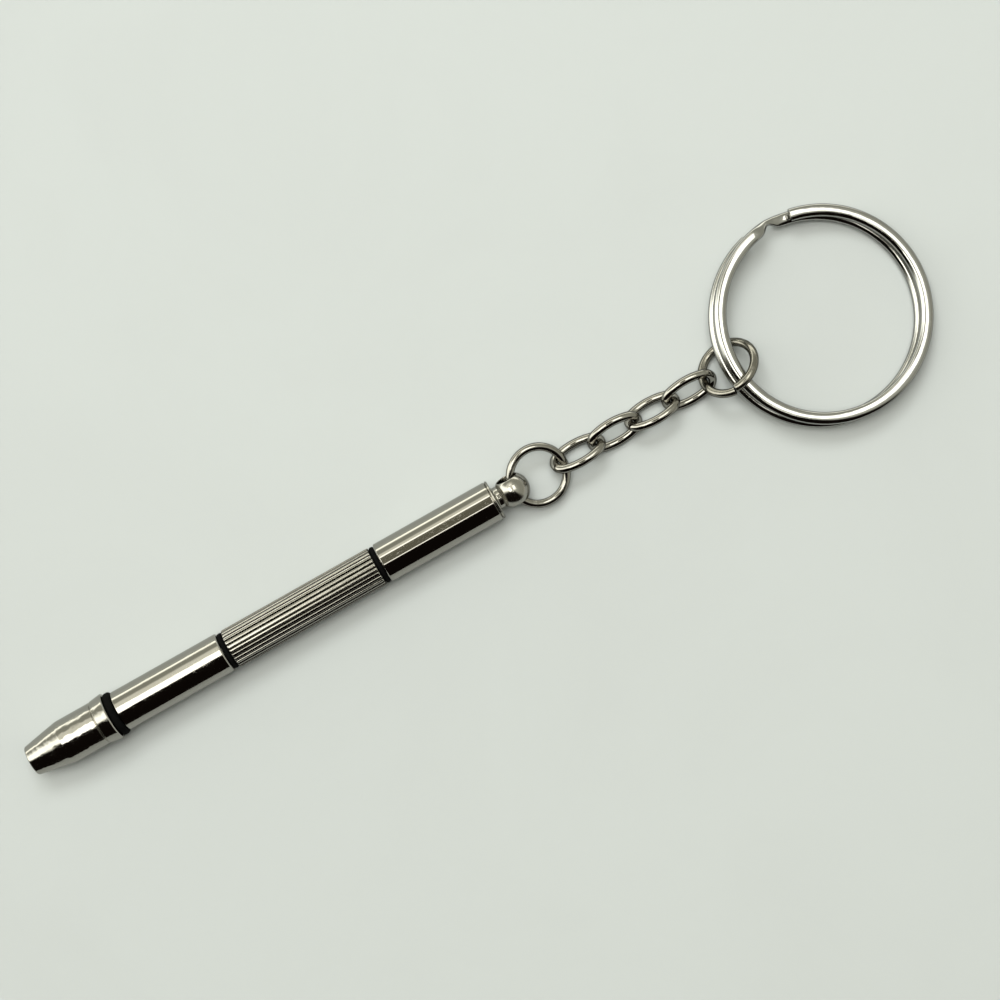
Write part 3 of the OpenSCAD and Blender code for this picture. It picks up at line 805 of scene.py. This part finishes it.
def makeLink():
    endAt, endRadius, sideAt, sideRadius = (links[k] for k in ("endAt", "endRadius", "sideAt", "sideRadius"))
    meet = degrees(atan2(sideAt, endAt))
    arcs = (
        (endAt, 0, endRadius, -meet, meet), (0, -sideAt, sideRadius, meet, 180 - meet),
        (-endAt, 0, endRadius, 180 - meet, 180 + meet), (0, sideAt, sideRadius, 180 + meet, 360 - meet),
    )
    stations = []
    for x, y, r, a, b in arcs:
        stations += arcStations(Vector((x, y, 0)), r, a, b, links["arcSteps"])[:-1]
    return roundWire(stations, links["wire"], loop=True)


for i in range(links["count"]):
    # the links lean one way and the other by turns
    roll = -links["roll"] if i % 2 == 0 else links["roll"]
    linkPlace = inRow @ shift(x=links["first"] + i * links["pitch"], z=links["z"]) @ spin(roll, "X")
    node = f"chain_link_{i + 1}"
    place(f"chainLink{i + 1}", makeLink(), linkPlace, node, node, wireNickel)

# End ring
endRing = dict(
    x=97.1944, z=1.88499, pitch=15.2726, lowRoll=36.3192, radius=3.65, wire=1.1,
    open=4, lowEnd=265, bendAt=90, highEnd=-91, halfSteps=96,
)


def makeEndRing():
    r, wire, bendAt, steps = endRing["radius"], endRing["wire"], endRing["bendAt"], endRing["halfSteps"]
    # the upper half is bent open about the far side of the ring
    bend = shift(x=r, y=r) @ spin(-endRing["open"], "X") @ shift(y=-r)
    low = arcStations(Vector(), r, endRing["lowEnd"], bendAt, steps)
    high = arcStations(Vector(), r, bendAt, endRing["highEnd"], steps)[1:]
    stations = []
    for matrix, half in ((shift(x=r), low), (bend, high)):
        turn = matrix.to_3x3()
        stations += [(matrix @ middle, turn @ out, turn @ up, scale) for middle, out, up, scale in half]
    return roundWire(easedEnds(stations, wire), wire)


endPlace = (
    inRow @ shift(x=endRing["x"], z=endRing["z"])
    @ spin(-endRing["pitch"], "Y") @ spin(-endRing["lowRoll"], "X")
)
place("endRing", makeEndRing(), endPlace, "end_ring", "end_ring", endNickel)

# Split ring
splitRing = dict(
    x=101.29, z=3.21048, lean=3.95471, fromSeat=12.911, radius=13.18, width=1.64, high=1.15,
    gap=0.45, shift=0.5, endTurn=79.5, run=336, step=23.5, steps=640,
    sectionPoints=40, fullness=0.8, corner=0.4945, endEase=0.06,
    nip=0.5, nipAt=0.55, nipWide=0.2, roll=-18, rollAt=0.4, rollWide=0.2, unrollAt=0.84, unrollWide=0.1,
)


def splitSection():
    # a flattened round, fuller than an ellipse
    def full(part, half):
        return half * abs(part) ** splitRing["fullness"] * (1 if part > 0 else -1)

    count = splitRing["sectionPoints"]
    turns = [2 * pi * (k + 0.5) / count for k in range(count)]
    wide, tall = splitRing["width"] / 2, splitRing["high"] / 2
    return [(full(cos(turn), wide), full(sin(turn), tall)) for turn in turns]


def makeSplitRing():
    run, step, count = splitRing["run"], splitRing["step"], splitRing["steps"]
    width, high = splitRing["width"], splitRing["high"]
    stations = []
    for k in range(count + 1):
        s = (2 * run + step) * k / count
        t = min(1, max(0, (s - run) / step))
        side = (1 - 2 * smooth(t)) / 2
        turn = radians(splitRing["endTurn"] - s)
        out = Vector((cos(turn), sin(turn), 0))
        middle = out * splitRing["radius"]
        middle.x += splitRing["shift"] * side
        middle.z = (high + splitRing["gap"]) * side
        # the bend is nipped on its inner side and rolled a little
        nip = splitRing["nip"] * bell(t, splitRing["nipAt"], splitRing["nipWide"]) * sin(pi * t)
        middle += out * (nip * width / 2)
        roll = bell(t, splitRing["rollAt"], splitRing["rollWide"])
        roll -= bell(t, splitRing["unrollAt"], splitRing["unrollWide"])
        roll *= radians(splitRing["roll"]) * sqrt(sin(pi * t))
        wide, tall = out * cos(roll) + upward * sin(roll), upward * cos(roll) - out * sin(roll)
        stations.append((middle, wide, tall, (1 - nip, 1 - nip / 2)))
    # the corner only sets how far the lines run round the wire
    girth = 2 * (width + high) - (8 - 2 * pi) * splitRing["corner"]
    return swept(easedEnds(stations, width, splitRing["endEase"]), splitSection(), girth)


splitPlace = (
    inRow @ shift(x=splitRing["x"], z=splitRing["z"]) @ spin(splitRing["lean"], "Y")
    @ shift(x=splitRing["fromSeat"])
)
place("splitRing", makeSplitRing(), splitPlace, "split_ring", "split_ring", ringSteel)
print("rings and chain made")

# Floor
floorLook = dict(
    size=2.0, drop=0.02, colour=(0.462, 0.486, 0.486), shade=(0.452, 0.474, 0.474), hazeSize=0.03,
    # the first colour on the next line is painted shade: the floor as the metals mirror it
    mirroredShade=(0.33, 0.345, 0.342), rough=0.45, shine=0.2,
)


def makeFloor():
    bm = bmesh.new()
    bmesh.ops.create_grid(bm, x_segments=2, y_segments=2, size=floorLook["size"])
    mesh = bpy.data.meshes.new("floor")
    bm.to_mesh(mesh)
    bm.free()
    floor = bpy.data.objects.new("floor", mesh)
    floor.location.z = -floorLook["drop"] * mm
    bpy.context.scene.collection.objects.link(floor)
    material, tree, shader, spot = newMaterial("paleFloor")
    haze = useGroup(tree, "smudges", {"Place": spot, "Size": floorLook["hazeSize"]})
    tint = blendColours(tree, haze, floorLook["colour"], floorLook["shade"])
    # the photo's metals mirror the floor darker than it looks
    # painted shade: glossy rays see the floor in this darker colour
    glossy = addNode(tree, "ShaderNodeLightPath").outputs["Is Glossy Ray"]
    tint = blendColours(tree, glossy, tint, floorLook["mirroredShade"])
    tree.links.new(tint, shader.inputs["Base Color"])
    shader.inputs["Roughness"].default_value = floorLook["rough"]
    shader.inputs["Specular IOR Level"].default_value = floorLook["shine"]
    mesh.materials.append(material)


makeFloor()

# Light: a pale room with a bright ceiling, a window to the left and a dark side; angles are in degrees
studio = dict(
    room=[
        (0, (0.8, 0.8, 0.7)), (26, (0.62, 0.62, 0.53)), (50, (0.42, 0.42, 0.35)), (74, (0.4, 0.4, 0.33)),
        (90, (0.62, 0.62, 0.54)),
    ],
    wall=dict(turn=108, half=40, low=16, high=50, colour=(1.15, 1.14, 0.97)),
    window=dict(turn=149, half=19, low=20, high=84, colour=(2.5, 2.5, 2.25)),
    sill=dict(turn=95, half=60, low=79, high=92, colour=(2.4, 2.4, 2.1)),
    dark=dict(turn=238.5, half=63, low=5.5, high=100, colour=(0.006, 0.004, 0.003)),
    ceiling=dict(along=(-21, 23), across=(-25, 5), colour=(3.3, 3.27, 2.95)),
    ledge=dict(along=(-5, 6.2), across=(-37, 13), colour=(2.6, 2.55, 2.3)),
    holder=dict(along=(-4.4, 6.2), across=(-30, 9.5), colour=(0.2, 0.19, 0.14)),
    backdrop=(0.72, 0.75, 0.69), softTurn=7, softTilt=4, softPatch=0.8,
    lamps=dict(
        softLight=dict(turn=78, tilt=36, far=0.8, size=(0.42, 0.24), power=2.75, colour=(1.0, 1.03, 1.0)),
        topLight=dict(turn=90, tilt=10, far=0.8, size=(0.4, 0.32), power=2.42, colour=(1.0, 1.0, 0.95)),
    ),
)


def within(tree, value, low, high, soft):
    # one between two angles, zero outside them
    rise = spread(tree, value, radians(low - soft), radians(low + soft))
    fall = spread(tree, value, radians(high - soft), radians(high + soft), toLow=1.0, toHigh=0.0)
    return times(tree, rise, fall)


def makeRoom(tree, tilt):
    ramp = addNode(tree, "ShaderNodeValToRGB", {"Fac": maths(tree, "DIVIDE", tilt, pi / 2)})
    stops = ramp.color_ramp.elements
    while len(stops) < len(studio["room"]):
        stops.new(0.5)
    # every stop is moved before any is coloured, because moving one can change their order
    for stop, (angle, colour) in zip(stops, studio["room"]):
        stop.position = angle / 90
    for stop, (angle, colour) in zip(stops, studio["room"]):
        stop.color = (*colour, 1)
    return ramp.outputs[0]


def makeWorld():
    world = bpy.data.worlds.new("studio")
    world.use_nodes = True
    bpy.context.scene.world = world
    tree = world.node_tree
    back = tree.nodes["Background"]
    ray = addNode(tree, "ShaderNodeTexCoord").outputs["Generated"]
    toward = addNode(tree, "ShaderNodeSeparateXYZ", {0: ray}).outputs
    tilt = maths(tree, "ARCCOSINE", toward["Z"])
    seen = makeRoom(tree, tilt)
    for title in ("wall", "window", "sill", "dark"):
        side = studio[title]
        turnBack = {"Vector": ray, "Angle": radians(-side["turn"])}
        spun = addNode(tree, "ShaderNodeVectorRotate", turnBack, rotation_type="Z_AXIS").outputs[0]
        spun = addNode(tree, "ShaderNodeSeparateXYZ", {0: spun}).outputs
        # this angle is never negative, so only its upper limit counts
        off = maths(tree, "ABSOLUTE", maths(tree, "ARCTAN2", spun["Y"], spun["X"]))
        mask = within(tree, off, low=-90, high=side["half"], soft=studio["softTurn"])
        mask = times(tree, mask, within(tree, tilt, side["low"], side["high"], studio["softTilt"]))
        seen = blendColours(tree, mask, seen, side["colour"])
    along = maths(tree, "ARCSINE", toward["X"])
    across = maths(tree, "ARCTAN2", times(tree, toward["Y"], -1.0), toward["Z"])
    for title in ("ceiling", "ledge", "holder"):
        patch = studio[title]
        mask = within(tree, along, *patch["along"], studio["softPatch"])
        mask = times(tree, mask, within(tree, across, *patch["across"], studio["softPatch"]))
        seen = blendColours(tree, mask, seen, patch["colour"])
    direct = addNode(tree, "ShaderNodeLightPath").outputs["Is Camera Ray"]
    tree.links.new(blendColours(tree, direct, seen, studio["backdrop"]), back.inputs["Color"])


def makeLamp(title, lamp):
    # soft light that only the floor and the rubber take up
    light = bpy.data.lights.new(title, "AREA")
    light.shape, light.size, light.size_y = "RECTANGLE", *lamp["size"]
    light.energy, light.color = lamp["power"], lamp["colour"]
    turn, tilt = radians(lamp["turn"]), radians(lamp["tilt"])
    toward = Vector((sin(tilt) * cos(turn), sin(tilt) * sin(turn), cos(tilt)))
    piece = bpy.data.objects.new(title, light)
    piece.location = toward * lamp["far"]
    piece.rotation_euler = toward.to_track_quat("Z", "Y").to_euler()
    piece.visible_glossy = False
    bpy.context.scene.collection.objects.link(piece)


makeWorld()
for title, lamp in studio["lamps"].items():
    makeLamp(title, lamp)
print("floor and light made")

# Camera
view = dict(x=3.21, y=-0.35, height=280.3, turn=-29.45, lens=79.2, sensor=36, near=0.01, far=20)
camera = bpy.data.objects.new("camera", bpy.data.cameras.new("camera"))
camera.location = (view["x"] * mm, view["y"] * mm, view["height"] * mm)
camera.rotation_euler = (0, 0, radians(view["turn"]))
camera.data.lens, camera.data.sensor_width = view["lens"], view["sensor"]
camera.data.clip_start, camera.data.clip_end = view["near"], view["far"]
bpy.context.scene.collection.objects.link(camera)
bpy.context.scene.camera = camera
bpy.context.scene.view_settings.view_transform = "Standard"

print("scene done")
